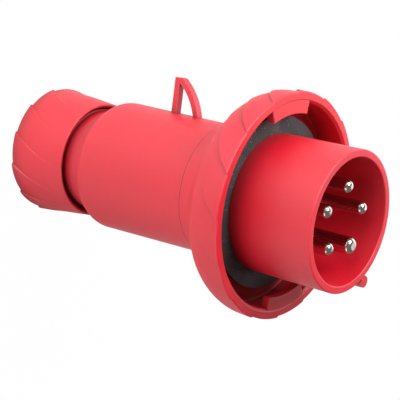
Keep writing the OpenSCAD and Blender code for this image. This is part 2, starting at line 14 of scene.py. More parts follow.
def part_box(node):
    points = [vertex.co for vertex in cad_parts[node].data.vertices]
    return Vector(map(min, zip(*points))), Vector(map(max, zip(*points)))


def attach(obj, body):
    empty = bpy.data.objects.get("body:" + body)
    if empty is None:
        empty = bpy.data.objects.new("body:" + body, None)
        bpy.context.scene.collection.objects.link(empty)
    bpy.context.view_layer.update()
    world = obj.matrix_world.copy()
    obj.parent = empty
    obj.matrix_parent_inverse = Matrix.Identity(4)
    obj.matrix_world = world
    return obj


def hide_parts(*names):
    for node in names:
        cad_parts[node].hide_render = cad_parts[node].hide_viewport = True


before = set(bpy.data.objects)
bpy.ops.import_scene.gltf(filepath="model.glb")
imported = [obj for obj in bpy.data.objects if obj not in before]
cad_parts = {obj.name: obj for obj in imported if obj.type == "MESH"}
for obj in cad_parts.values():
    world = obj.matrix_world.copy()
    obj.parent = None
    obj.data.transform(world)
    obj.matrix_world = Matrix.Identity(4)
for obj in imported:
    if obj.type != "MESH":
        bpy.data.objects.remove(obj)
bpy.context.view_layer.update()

LOG = logging.getLogger("plug")
MM = 0.001

# Points closer than this are one point, and edges past this angle stay sharp.
MERGE_DISTANCE = 1e-6
SHARP_ANGLE = math.radians(38)

# The angles at which a rounded edge's corners lie, from 0 to 90 degrees.
QUARTER_ARC = [math.radians(15 * i) for i in range(7)]

# How a petal's columns bunch up at its edges, its height across it, and how a thread's
# height grows and ends along it. All run from 0 to 1.
PETAL_SPREAD = [(0, 0), (0.06, 0.012), (0.12, 0.04), (0.6, 0.88), (0.75, 0.95), (1, 1)]
PETAL_CROWN = [(0, 0), (0.012, 0.02), (0.9, 0.97), (0.945, 1), (0.965, 0.93), (0.985, 0.3), (1, 0)]
THREAD_TAPER = [(0, 0), (0.08, 1), (0.92, 1), (1, 0)]

# The spans that hold most of a noise's values: a wide one, and one for harder patches.
NOISE_SPAN = (0.3, 0.7)
PATCH_SPAN = (0.35, 0.65)

Colour = tuple[float, float, float]
Place = tuple[float, float, float]
Row = tuple[float, float, float, float]
Socket = bpy.types.NodeSocket


class Side(Enum):
    """Which way round the axis a grip petal rises, up to the edge that stands proud."""

    RISING = 1.0
    FALLING = -1.0


class Graph:
    """Adds nodes to one tree and wires their inputs as they are made."""

    def __init__(self, tree: bpy.types.NodeTree) -> None:
        """Keeps the tree that the nodes go into."""
        self.tree = tree

    def add(
        self, kind: str, inputs: dict[str | int, Any] | None = None, **settings: Any
    ) -> bpy.types.Node:
        """Adds a node.

        Args:
            kind: the node's type name.
            inputs: constants, or sockets to link, by input name or number.
            settings: properties set on the node itself, before its inputs.

        Returns:
            The new node.
        """
        node = self.tree.nodes.new(kind)
        for key, value in settings.items():
            setattr(node, key, value)
        for key, value in (inputs or {}).items():
            self.feed(node, key, value)
        return node

    def feed(self, node: bpy.types.Node, key: str | int, value: Any) -> None:
        """Links a socket to an input, or sets the input's constant.

        Args:
            node: the node that takes the value.
            key: the input's name or number.
            value: a socket or a constant.
        """
        if isinstance(value, Socket):
            self.tree.links.new(value, node.inputs[key])
        else:
            node.inputs[key].default_value = value

    def maths(self, operation: str, first: Any, second: Any = 0.0, third: Any = 0.0) -> Socket:
        """Adds a Math node with one to three values and returns its result."""
        values = {0: first, 1: second, 2: third}
        return self.add("ShaderNodeMath", values, operation=operation).outputs[0]

    def remap(
        self, value: Any, low: float, high: float, start: float = 0.0, end: float = 1.0
    ) -> Socket:
        """Adds a Map Range node, which gives the start at the low value and the end at the high."""
        values = {"Value": value, 1: low, 2: high, 3: start, 4: end}
        return self.add("ShaderNodeMapRange", values).outputs[0]

    def curve(self, value: Any, points: list[tuple[float, float]]) -> Socket:
        """Adds a Float Curve through straight segments.

        Args:
            value: what the curve reads.
            points: the curve's points, from left to right.

        Returns:
            The socket with the result.
        """
        node = self.add("ShaderNodeFloatCurve", {"Value": value})
        line = node.mapping.curves[0]
        while len(line.points) < len(points):
            line.points.new(0.5, 0.5)
        for point, place in zip(line.points, points):
            point.location = place
            point.handle_type = "VECTOR"
        node.mapping.update()
        return node.outputs[0]

    def own_place(self) -> Socket:
        """Returns a piece's own coordinates, on which a pattern stays where it is."""
        return self.add("ShaderNodeTexCoord").outputs["Object"]

    def noise(self, place: Socket, scale: Any, detail: float, **inputs: float) -> Socket:
        """Adds a Noise Texture, with its other inputs by name, and returns its value."""
        values = {"Vector": place, "Scale": scale, "Detail": detail, **inputs}
        return self.add("ShaderNodeTexNoise", values).outputs[0]

    def group(self, tree: bpy.types.NodeTree, inputs: dict[str, float] | None = None) -> Any:
        """Places a shader group with its own values and returns its outputs."""
        return self.add("ShaderNodeGroup", inputs, node_tree=tree).outputs

    def mix(self, factor: Any, first: Any, second: Any) -> Socket:
        """Mixes two colours.

        Args:
            factor: how much of the second colour.
            first: the first colour, as a socket or three numbers.
            second: the second colour.

        Returns:
            The mixed colour's socket.
        """
        node = self.add("ShaderNodeMix", {0: factor}, data_type="RGBA")
        for key, value in ((6, first), (7, second)):
            self.feed(node, key, value if isinstance(value, Socket) else (*value, 1.0))
        return node.outputs[2]


def add_object(name: str, data: bpy.types.ID) -> bpy.types.Object:
    """Puts a new object with this data in the scene, at the origin.

    Args:
        name: the object's name.
        data: its mesh, camera or light.

    Returns:
        The object.
    """
    item = bpy.data.objects.new(name, data)
    bpy.context.scene.collection.objects.link(item)
    return item


class GeometryTree:
    """A Geometry Nodes tree with named inputs, run once to give a plain mesh."""

    def __init__(self, name: str, inputs: dict[str, str]) -> None:
        """Starts the tree with a geometry and a material input and a geometry output.

        Args:
            name: the tree's name.
            inputs: its other inputs and their kinds, such as Float or Int.
        """
        self.tree = bpy.data.node_groups.new(name, "GeometryNodeTree")
        self.tree.is_modifier = True
        self.graph = Graph(self.tree)
        self.sockets: dict[str, str] = {}
        interface = self.tree.interface
        interface.new_socket("Geometry", in_out="OUTPUT", socket_type="NodeSocketGeometry")
        for label, kind in {"Geometry": "Geometry", **inputs, "Material": "Material"}.items():
            item = interface.new_socket(label, in_out="INPUT", socket_type="NodeSocket" + kind)
            self.sockets[label] = item.identifier
        self.given = self.graph.add("NodeGroupInput").outputs

    def end(self, geometry: Socket) -> None:
        """Closes the tree with Realize Instances, smooth faces, sharp edges and Set Material.

        Args:
            geometry: the finished geometry.
        """
        add = self.graph.add
        real = add("GeometryNodeRealizeInstances", {"Geometry": geometry}).outputs[0]
        close = {"Geometry": real, "Distance": MERGE_DISTANCE}
        merged = add("GeometryNodeMergeByDistance", close).outputs[0]
        angle = add("GeometryNodeInputMeshEdgeAngle").outputs[0]
        sharp = self.graph.maths("GREATER_THAN", angle, SHARP_ANGLE)
        edges = {"Geometry": merged, "Selection": sharp, "Shade Smooth": False}
        smooth = add("GeometryNodeSetShadeSmooth", edges, domain="EDGE").outputs[0]
        coat = {"Geometry": smooth, "Material": self.given["Material"]}
        add("NodeGroupOutput", {0: add("GeometryNodeSetMaterial", coat).outputs[0]})

    def run(self, name: str, source: bpy.types.Mesh, values: dict[str, Any]) -> bpy.types.Object:
        """Evaluates the tree on a mesh.

        Args:
            name: the name of the piece.
            source: the mesh that the tree reads.
            values: the tree's inputs by name.

        Returns:
            An object with the plain mesh that the tree made.
        """
        carrier = add_object(name + "_carrier", source)
        modifier = carrier.modifiers.new("nodes", "NODES")
        modifier.node_group = self.tree
        for key, value in values.items():
            modifier[self.sockets[key]] = value
        bpy.context.view_layer.update()
        ready = carrier.evaluated_get(bpy.context.evaluated_depsgraph_get())
        mesh = bpy.data.meshes.new_from_object(ready)
        carrier.modifiers.clear()
        bpy.data.objects.remove(carrier)
        mesh.name = name
        mesh.materials.clear()
        mesh.materials.append(values["Material"])
        mesh.polygons.foreach_set("material_index", [0] * len(mesh.polygons))
        piece = add_object(name, mesh)
        turn_outwards(piece)
        return piece


def turn_outwards(piece: bpy.types.Object) -> None:
    """Merges a closed mesh's doubles and points its faces outwards.

    Args:
        piece: the object that holds the mesh.
    """
    work = bmesh.new()
    work.from_mesh(piece.data)
    bmesh.ops.remove_doubles(work, verts=work.verts, dist=MERGE_DISTANCE)
    bmesh.ops.recalc_face_normals(work, faces=work.faces)
    work.to_mesh(piece.data)
    work.free()


def join_pieces(first: bpy.types.Object, others: list[bpy.types.Object]) -> None:
    """Joins meshes into the first one, all at the origin already.

    Args:
        first: the object that stays.
        others: the objects that go into it.
    """
    work = bmesh.new()
    for piece in (first, *others):
        work.from_mesh(piece.data)
    work.to_mesh(first.data)
    work.free()
    for piece in others:
        bpy.data.objects.remove(piece)


def place_piece(piece: bpy.types.Object, body: str) -> None:
    """Hands a finished piece to the frame.

    Args:
        piece: the finished piece.
        body: the CAD body that it rides on.
    """
    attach(piece, body)
    LOG.info("made %s: %d faces, on %s", piece.name, len(piece.data.polygons), body)


def section_mesh(name: str, rows: list[Row]) -> bpy.types.Mesh:
    """Makes the closed section that a tree reads by index.

    Args:
        name: the mesh's name.
        rows: radius, height, turn in radians and step of each corner.

    Returns:
        A mesh of loose points with the turn and the step as attributes.
    """
    mesh = bpy.data.meshes.new(name)
    mesh.from_pydata([(row[0], 0.0, row[1]) for row in rows], [], [])
    for place, label in ((2, "turn"), (3, "step")):
        layer = mesh.attributes.new(label, "FLOAT", "POINT")
        layer.data.foreach_set("value", [row[place] for row in rows])
    return mesh


class SectionGrid:
    """A grid whose rows follow a closed section's corners, one column for each step."""

    def __init__(self, graph: Graph, section: Socket, steps: Any) -> None:
        """Makes the grid and finds each point's corner and its share of the way along.

        Args:
            graph: the tree's graph.
            section: the section's loose points.
            steps: how many steps the grid has.
        """
        self.graph = graph
        self.section = section
        size = graph.add("GeometryNodeAttributeDomainSize", {"Geometry": section})
        corners = size.outputs["Point Count"]
        rows = graph.maths("ADD", corners, 1.0)
        columns = graph.maths("ADD", steps, 1.0)
        self.grid = graph.add("GeometryNodeMeshGrid", {"Vertices X": columns, "Vertices Y": rows})
        index = graph.add("GeometryNodeInputIndex").outputs[0]
        column = graph.maths("FLOOR", graph.maths("DIVIDE", graph.maths("ADD", index, 0.5), rows))
        passed = graph.maths("MULTIPLY", column, rows)
        self.row = graph.maths("MODULO", graph.maths("SUBTRACT", index, passed), corners)
        self.share = graph.maths("DIVIDE", column, steps)
        place = self.read(graph.add("GeometryNodeInputPosition").outputs[0], "FLOAT_VECTOR")
        self.corner = graph.add("ShaderNodeSeparateXYZ", {0: place}).outputs

    def read(self, value: Socket, kind: str) -> Socket:
        """Reads a value at each point's own corner of the section.

        Args:
            value: what is read there.
            kind: its data type.

        Returns:
            The socket with the value.
        """
        inputs = {"Geometry": self.section, "Value": value, "Index": self.row}
        node = self.graph.add("GeometryNodeSampleIndex", inputs, data_type=kind, clamp=True)
        return node.outputs[0]

    def label(self, name: str) -> Socket:
        """Reads one of the section's attributes at each point's own corner."""
        named = self.graph.add("GeometryNodeInputNamedAttribute", {"Name": name}, data_type="FLOAT")
        return self.read(named.outputs[0], "FLOAT")

    def bend(self, radius: Socket, angle: Socket, height: Socket) -> Socket:
        """Puts the grid's points round the axis.

        Args:
            radius: each point's radius.
            angle: its angle in radians.
            height: its height.

        Returns:
            The socket with the bent grid.
        """
        maths = self.graph.maths
        across = maths("MULTIPLY", radius, maths("COSINE", angle))
        along = maths("MULTIPLY", radius, maths("SINE", angle))
        spot = self.graph.add("ShaderNodeCombineXYZ", {0: across, 1: along, 2: height})
        inputs = {"Geometry": self.grid.outputs[0], "Position": spot.outputs[0]}
        return self.graph.add("GeometryNodeSetPosition", inputs).outputs[0]


def petal_tree() -> GeometryTree:
    """Builds the tree that turns a closed section into a body with swirled grip petals.

    Returns:
        The tree, with inputs for the count, the start angle and the side that stands proud.
    """
    kit = GeometryTree(
        "Grip_Petals",
        {"Petals": "Int", "Start Angle": "Float", "Proud Side": "Float", "Columns": "Int"},
    )
    graph, maths, given = kit.graph, kit.graph.maths, kit.given
    pitch = maths("DIVIDE", math.tau, given["Petals"])
    grid = SectionGrid(graph, given["Geometry"], given["Columns"])
    across = graph.curve(grid.share, PETAL_SPREAD)
    height = graph.curve(across, PETAL_CROWN)
    hollow = maths("MULTIPLY", grid.label("step"), maths("SUBTRACT", 1.0, height))
    radius = maths("SUBTRACT", grid.corner["X"], hollow)
    swing = maths("MULTIPLY", maths("MULTIPLY", across, pitch), given["Proud Side"])
    angle = maths("ADD", maths("ADD", given["Start Angle"], swing), grid.label("turn"))
    petal = grid.bend(radius, angle, grid.corner["Z"])
    spots = {"Count": given["Petals"], "Offset": (0, 0, 0)}
    marks = graph.add("GeometryNodeMeshLine", spots, mode="OFFSET").outputs[0]
    which = graph.add("GeometryNodeInputIndex").outputs[0]
    around = graph.add("ShaderNodeCombineXYZ", {2: maths("MULTIPLY", which, pitch)}).outputs[0]
    inputs = {"Points": marks, "Instance": petal, "Rotation": around}
    kit.end(graph.add("GeometryNodeInstanceOnPoints", inputs).outputs[0])
    return kit


def thread_tree() -> GeometryTree:
    """Builds the tree that winds a section into a tapered screw thread.

    Returns:
        The tree, with inputs for the pitch, the turns and the steps of each turn.
    """
    kit = GeometryTree(
        "Screw_Thread",
        {"Pitch": "Float", "Turns": "Float", "Base Radius": "Float", "Steps Per Turn": "Int"},
    )
    graph, maths, given = kit.graph, kit.graph.maths, kit.given
    steps = maths("CEIL", maths("MULTIPLY", given["Turns"], given["Steps Per Turn"]))
    grid = SectionGrid(graph, given["Geometry"], steps)
    taper = graph.curve(grid.share, THREAD_TAPER)
    rise = maths("SUBTRACT", grid.corner["X"], given["Base Radius"])
    radius = maths("MULTIPLY_ADD", rise, taper, given["Base Radius"])
    turned = maths("MULTIPLY", grid.share, given["Turns"])
    climbed = maths("ADD", grid.corner["Z"], maths("MULTIPLY", turned, given["Pitch"]))
    kit.end(grid.bend(radius, maths("MULTIPLY", turned, math.tau), climbed))
    return kit


def shader_group(
    name: str, inputs: dict[str, float], outputs: tuple[str, ...]
) -> tuple[Graph, Any, bpy.types.Node]:
    """Starts a shader node group that reads and puts out numbers.

    Args:
        name: the group's name.
        inputs: its inputs with their usual values.
        outputs: the names of its outputs.

    Returns:
        A graph for the group, its input sockets and its output node.
    """
    tree = bpy.data.node_groups.new(name, "ShaderNodeTree")
    for label, value in inputs.items():
        socket = tree.interface.new_socket(label, in_out="INPUT", socket_type="NodeSocketFloat")
        socket.default_value = value
    for label in outputs:
        tree.interface.new_socket(label, in_out="OUTPUT", socket_type="NodeSocketFloat")
    graph = Graph(tree)
    return graph, graph.add("NodeGroupInput").outputs, graph.add("NodeGroupOutput")


def mould_grain_group() -> bpy.types.NodeTree:
    """Builds the fine matt grain that a spark-eroded mould leaves.

    Returns:
        The group, which puts out a height and a slow variation mask.
    """
    graph, given, out = shader_group(
        "Mould_Grain", {"Grain Scale": 1500.0, "Flow Scale": 28.0}, ("Height", "Flow")
    )
    place = graph.own_place()
    fine = graph.noise(place, given["Grain Scale"], 3.0, Roughness=0.65)
    coarse = graph.noise(place, graph.maths("MULTIPLY", given["Grain Scale"], 0.3), 2.0)
    fine_half = graph.maths("MULTIPLY", fine, 0.5)
    graph.feed(out, "Height", graph.maths("MULTIPLY_ADD", coarse, 0.5, fine_half))
    graph.feed(out, "Flow", graph.noise(place, given["Flow Scale"], 3.0, Distortion=0.4))
    return graph.tree


def edge_wear_and_highlight_group() -> bpy.types.NodeTree:
    """Builds the mask of edges lightened by rubbing and by painted highlight, broken up by a small
    noise.

    Returns:
        The group, which puts out one mask.
    """
    graph, given, out = shader_group(
        "Edge_Wear_And_Highlight", {"Width": 0.8 * MM, "Patch Scale": 260.0}, ("Mask",)
    )
    soft = graph.add("ShaderNodeBevel", {"Radius": given["Width"]}, samples=6).outputs[0]
    flat = graph.add("ShaderNodeNewGeometry").outputs["Normal"]
    same = graph.add("ShaderNodeVectorMath", {0: soft, 1: flat}, operation="DOT_PRODUCT")
    # The same edge mask also carries painted highlights along rounded rims and petal edges.
    edge = graph.remap(same.outputs["Value"], 0.995, 0.86)
    patch = graph.noise(graph.own_place(), given["Patch Scale"], 3.0)
    graph.feed(out, "Mask", graph.maths("MULTIPLY", edge, graph.remap(patch, *PATCH_SPAN, 0.35)))
    return graph.tree


def crease_shade_group() -> bpy.types.NodeTree:
    """Builds the mask of painted shade in tight corners, where light doesn't reach.

    Returns:
        The group, which puts out how open the surface is and how much painted shade its corner
        gets.
    """
    graph, given, out = shader_group(
        "Painted_Corner_Shade", {"Reach": 2.5 * MM, "Depth": 1.0}, ("Open", "Painted Shade")
    )
    hidden = graph.add("ShaderNodeAmbientOcclusion", {"Distance": given["Reach"]}, samples=8)
    seen = hidden.outputs["AO"]
    # Painted shade: the less open room a point sees, the darker it is painted.
    crease_shade = graph.remap(graph.maths("SUBTRACT", 1.0, seen), 0.03, 0.35)
    graph.feed(out, "Painted Shade", graph.maths("MULTIPLY", crease_shade, given["Depth"]))
    graph.feed(out, "Open", graph.remap(seen, 0.8, 0.97))
    return graph.tree


def speck_group() -> bpy.types.NodeTree:
    """Builds the sparse pale specks of mould dust and chalk on rubber.

    Returns:
        The group, which puts out one mask.
    """
    graph, given, out = shader_group("Specks", {"Speck Scale": 1500.0, "Amount": 0.1}, ("Mask",))
    inputs = {"Vector": graph.own_place(), "Scale": given["Speck Scale"]}
    cells = graph.add("ShaderNodeTexVoronoi", inputs, feature="F1").outputs
    dot = graph.remap(cells["Distance"], 0.34, 0.2)
    pick = graph.add("ShaderNodeSeparateColor", {0: cells["Color"]}).outputs[0]
    rare = graph.maths("LESS_THAN", pick, given["Amount"])
    graph.feed(out, "Mask", graph.maths("MULTIPLY", dot, rare))
    return graph.tree


def turning_group() -> bpy.types.NodeTree:
    """Builds the fine rings that a lathe leaves round upright parts.

    Returns:
        The group, which puts out one height.
    """
    graph, given, out = shader_group("Turning_Rings", {"Rings": 3000.0}, ("Height",))
    inputs = {"Vector": graph.own_place(), "Scale": (0.02, 0.02, 1.0)}
    squeezed = graph.add("ShaderNodeMapping", inputs).outputs[0]
    graph.feed(out, "Height", graph.noise(squeezed, given["Rings"], 2.0))
    return graph.tree


class Effects:
    """The shader groups that several finishes share, built once."""

    def __init__(self) -> None:
        """Builds every group."""
        self.grain = mould_grain_group()
        self.wear_and_highlight = edge_wear_and_highlight_group()
        self.painted_shade = crease_shade_group()
        self.specks = speck_group()
        self.turning = turning_group()


def new_material(name: str) -> tuple[bpy.types.Material, Graph, bpy.types.Node]:
    """Starts a node material.

    Args:
        name: the material's name.

    Returns:
        The material, its graph and its Principled BSDF.
    """
    material = bpy.data.materials.new(name)
    material.use_nodes = True
    return material, Graph(material.node_tree), material.node_tree.nodes["Principled BSDF"]


def add_bump(graph: Graph, shader: bpy.types.Node, height: Socket, depth: float) -> None:
    """Feeds a shader's normal from a height, where a height of 1 is this deep."""
    bump = graph.add("ShaderNodeBump", {"Distance": depth, "Height": height})
    graph.feed(shader, "Normal", bump.outputs[0])


@dataclass(frozen=True)
class MouldedPlastic:
    """Injection-moulded plastic with a matt grain, slow flow marks, edges lightened by rubbing and
    painted highlight, and painted shade in corners and hollows.
    """

    name: str
    colour: Colour
    flow_colour: Colour
    # Edges are lightened towards the next colour, partly as rubbing and partly as painted
    # highlight; corners and hollows are darkened towards the one after as painted shade.
    rubbed_and_highlight_colour: Colour
    painted_shade_colour: Colour
    roughness: float = 0.5
    smoothest: float = -0.05
    roughest: float = 0.06
    gloss: float = 1.0
    grain_scale: float = 1500.0
    grain_depth: float = 0.04 * MM
    # How strongly edges are lightened, as rubbing and as painted highlight.
    wear_and_highlight: float = 0.7
    polish: float = -0.12
    # How dark the painted shade is in tight corners and in wide hollows such as gaps and mouths,
    # and how far the hollows' shade reaches.
    crease_shade: float = 0.75
    hollow: float = 0.5
    hollow_shade_reach: float = 9.0 * MM

    def build(self, effects: Effects) -> bpy.types.Material:
        """Makes the material.

        Args:
            effects: the shared shader groups.

        Returns:
            The material.
        """
        material, graph, shader = new_material(self.name)
        shader.inputs["Specular IOR Level"].default_value = self.gloss
        grain = graph.group(effects.grain, {"Grain Scale": self.grain_scale})
        edge = graph.group(effects.wear_and_highlight)["Mask"]
        # Painted shade in tight corners and, with a longer reach, in wide hollows.
        corner = graph.group(effects.painted_shade, {"Depth": self.crease_shade})
        hollow = {"Reach": self.hollow_shade_reach, "Depth": self.hollow}
        deep = graph.group(effects.painted_shade, hollow)["Painted Shade"]
        flow = graph.remap(grain["Flow"], *NOISE_SPAN)
        body = graph.mix(flow, self.colour, self.flow_colour)
        # Edges lightened, as rubbing and as painted highlight, only where the surface is open.
        rubbed_and_highlight = graph.maths("MULTIPLY", graph.maths("MULTIPLY", edge, corner["Open"]), self.wear_and_highlight)
        worn_and_highlit = graph.mix(rubbed_and_highlight, body, self.rubbed_and_highlight_colour)
        # Painted shade: the darker of the two corner masks pulls the colour towards the shade
        # colour.
        shade = graph.maths("MAXIMUM", corner["Painted Shade"], deep)
        graph.feed(shader, "Base Color", graph.mix(shade, worn_and_highlit, self.painted_shade_colour))
        low, high = self.roughness + self.smoothest, self.roughness + self.roughest
        rough = graph.remap(grain["Height"], *NOISE_SPAN, low, high)
        graph.feed(shader, "Roughness", graph.maths("MULTIPLY_ADD", rubbed_and_highlight, self.polish, rough))
        add_bump(graph, shader, grain["Height"], self.grain_depth)
        return material


@dataclass(frozen=True)
class Rubber:
    """Dull moulded rubber with a few pale specks."""

    name: str
    colour: Colour
    speck_colour: Colour
    amount: float = 0.1
    roughness: float = 0.62
    smoothest: float = -0.08
    roughest: float = 0.08
    dulling: float = 0.5
    grain_scale: float = 2200.0
    flow_scale: float = 60.0
    grain_depth: float = 0.12 * MM
    speck_rise: float = 0.4

    def build(self, effects: Effects) -> bpy.types.Material:
        """Makes the material.

        Args:
            effects: the shared shader groups.

        Returns:
            The material.
        """
        material, graph, shader = new_material(self.name)
        scales = {"Grain Scale": self.grain_scale, "Flow Scale": self.flow_scale}
        grain = graph.group(effects.grain, scales)
        specks = graph.group(effects.specks, {"Amount": self.amount})["Mask"]
        dulled = tuple(part * self.dulling for part in self.colour)
        body = graph.mix(graph.remap(grain["Flow"], *PATCH_SPAN), self.colour, dulled)
        graph.feed(shader, "Base Color", graph.mix(specks, body, self.speck_colour))
        low, high = self.roughness + self.smoothest, self.roughness + self.roughest
        graph.feed(shader, "Roughness", graph.remap(grain["Flow"], *NOISE_SPAN, low, high))
        height = graph.maths("MULTIPLY_ADD", specks, self.speck_rise, grain["Height"])
        add_bump(graph, shader, height, self.grain_depth)
        return material


@dataclass(frozen=True)
class PlatedMetal:
    """Turned and plated metal with fine rings and slightly dulled patches."""

    name: str
    colour: Colour
    dulled_colour: Colour
    roughness: float = 0.14
    smoothest: float = -0.05
    roughest: float = 0.06
    grain_scale: float = 2600.0
    flow_scale: float = 120.0
    ring_depth: float = 0.01 * MM

    def build(self, effects: Effects) -> bpy.types.Material:
        """Makes the material.

        Args:
            effects: the shared shader groups.

        Returns:
            The material.
        """
        material, graph, shader = new_material(self.name)
        shader.inputs["Metallic"].default_value = 1.0
        scales = {"Grain Scale": self.grain_scale, "Flow Scale": self.flow_scale}
        flow = graph.group(effects.grain, scales)["Flow"]
        patches = graph.remap(flow, *PATCH_SPAN)
        graph.feed(shader, "Base Color", graph.mix(patches, self.colour, self.dulled_colour))
        low, high = self.roughness + self.smoothest, self.roughness + self.roughest
        graph.feed(shader, "Roughness", graph.remap(flow, *NOISE_SPAN, low, high))
        add_bump(graph, shader, graph.group(effects.turning)["Height"], self.ring_depth)
        return material


def grey(level: float) -> Colour:
    """Returns a plain grey."""
    return (level, level, level)


class Palette:
    """Every finish on the plug, by material slot."""

    def __init__(self) -> None:
        """Builds every material."""
        finishes = {
            # Each plastic's lighter edge colour is partly painted highlight, and its dark corner
            # colour is painted shade.
            "red_shell": MouldedPlastic(
                "Red_Polyamide",
                colour=(0.75, 0.002, 0.024),
                flow_colour=(0.70, 0.0015, 0.018),
                # The lighter edge colour is partly painted highlight, and the dark colour after it
                # is painted shade.
                rubbed_and_highlight_colour=(0.90, 0.09, 0.12),
                painted_shade_colour=(0.20, 0.0, 0.004),
            ),
            "gasket_rubber": Rubber(
                "Gasket_Rubber", colour=(0.058, 0.058, 0.062), speck_colour=grey(0.34)
            ),
            "seal_rubber": Rubber(
                "Seal_Rubber", colour=(0.022, 0.022, 0.024), speck_colour=grey(0.12), amount=0.05
            ),
            "nickel": PlatedMetal(
                "Nickel_Plate", colour=(0.66, 0.62, 0.56), dulled_colour=(0.54, 0.50, 0.45)
            ),
            "zinc_steel": PlatedMetal(
                "Zinc_Steel", (0.62, 0.63, 0.66), dulled_colour=(0.52, 0.53, 0.58), roughness=0.3
            ),
            "carrier_plastic": MouldedPlastic(
                "Carrier_Plastic",
                colour=(0.030, 0.030, 0.032),
                flow_colour=(0.024, 0.024, 0.026),
                rubbed_and_highlight_colour=grey(0.09),
                painted_shade_colour=grey(0.01),
                gloss=0.5,
            ),
            "cage_plastic": MouldedPlastic(
                "Cage_Plastic",
                colour=(0.30, 0.30, 0.31),
                flow_colour=(0.26, 0.26, 0.27),
                rubbed_and_highlight_colour=grey(0.42),
                painted_shade_colour=grey(0.1),
                gloss=0.5,
            ),
            "slip_plastic": MouldedPlastic(
                "Slip_Plastic",
                colour=(0.72, 0.72, 0.70),
                flow_colour=(0.66, 0.66, 0.64),
                rubbed_and_highlight_colour=grey(0.8),
                painted_shade_colour=grey(0.3),
                roughness=0.35,
                gloss=0.5,
            ),
        }
        effects = Effects()
        self.finish = {slot: finish.build(effects) for slot, finish in finishes.items()}


@dataclass(frozen=True)
class GripPetals:
    """How the swirled grip petals go round a body."""

    count: int
    start: float
    side: Side
    columns: int = 22

    def skin(
        self, tree: GeometryTree, name: str, rows: list[Row], material: bpy.types.Material
    ) -> bpy.types.Object:
        """Makes a body with these petals.

        Args:
            tree: the petal tree.
            name: the body's name.
            rows: its closed section.
            material: its finish.

        Returns:
            The body.
        """
        values = {
            "Petals": self.count,
            "Start Angle": self.start,
            "Proud Side": self.side.value,
            "Columns": self.columns,
            "Material": material,
        }
        return tree.run(name, section_mesh(name + "_section", rows), values)


@dataclass(frozen=True)
class ScrewThread:
    """A thread of the cable gland, outside on the neck or inside the nut."""

    root: float
    crest: float
    turns: float
    pitch: float = 3.0 * MM
    foot: float = 1.1 * MM
    flat: float = 0.35 * MM
    steps_per_turn: int = 72

    def wind(
        self, tree: GeometryTree, name: str, base: float, material: bpy.types.Material
    ) -> bpy.types.Object:
        """Winds the thread.

        Args:
            tree: the thread tree.
            name: the thread's name.
            base: the height at which it starts.
            material: its finish.

        Returns:
            The thread.
        """
        corners = [
            (self.root, base - self.foot),
            (self.crest, base - self.flat),
            (self.crest, base + self.flat),
            (self.root, base + self.foot),
        ]
        rows = [(radius, height, 0.0, 0.0) for radius, height in corners]
        values = {
            "Pitch": self.pitch,
            "Turns": self.turns,
            "Base Radius": self.root,
            "Steps Per Turn": self.steps_per_turn,
            "Material": material,
        }
        return tree.run(name, section_mesh(name + "_section", rows), values)


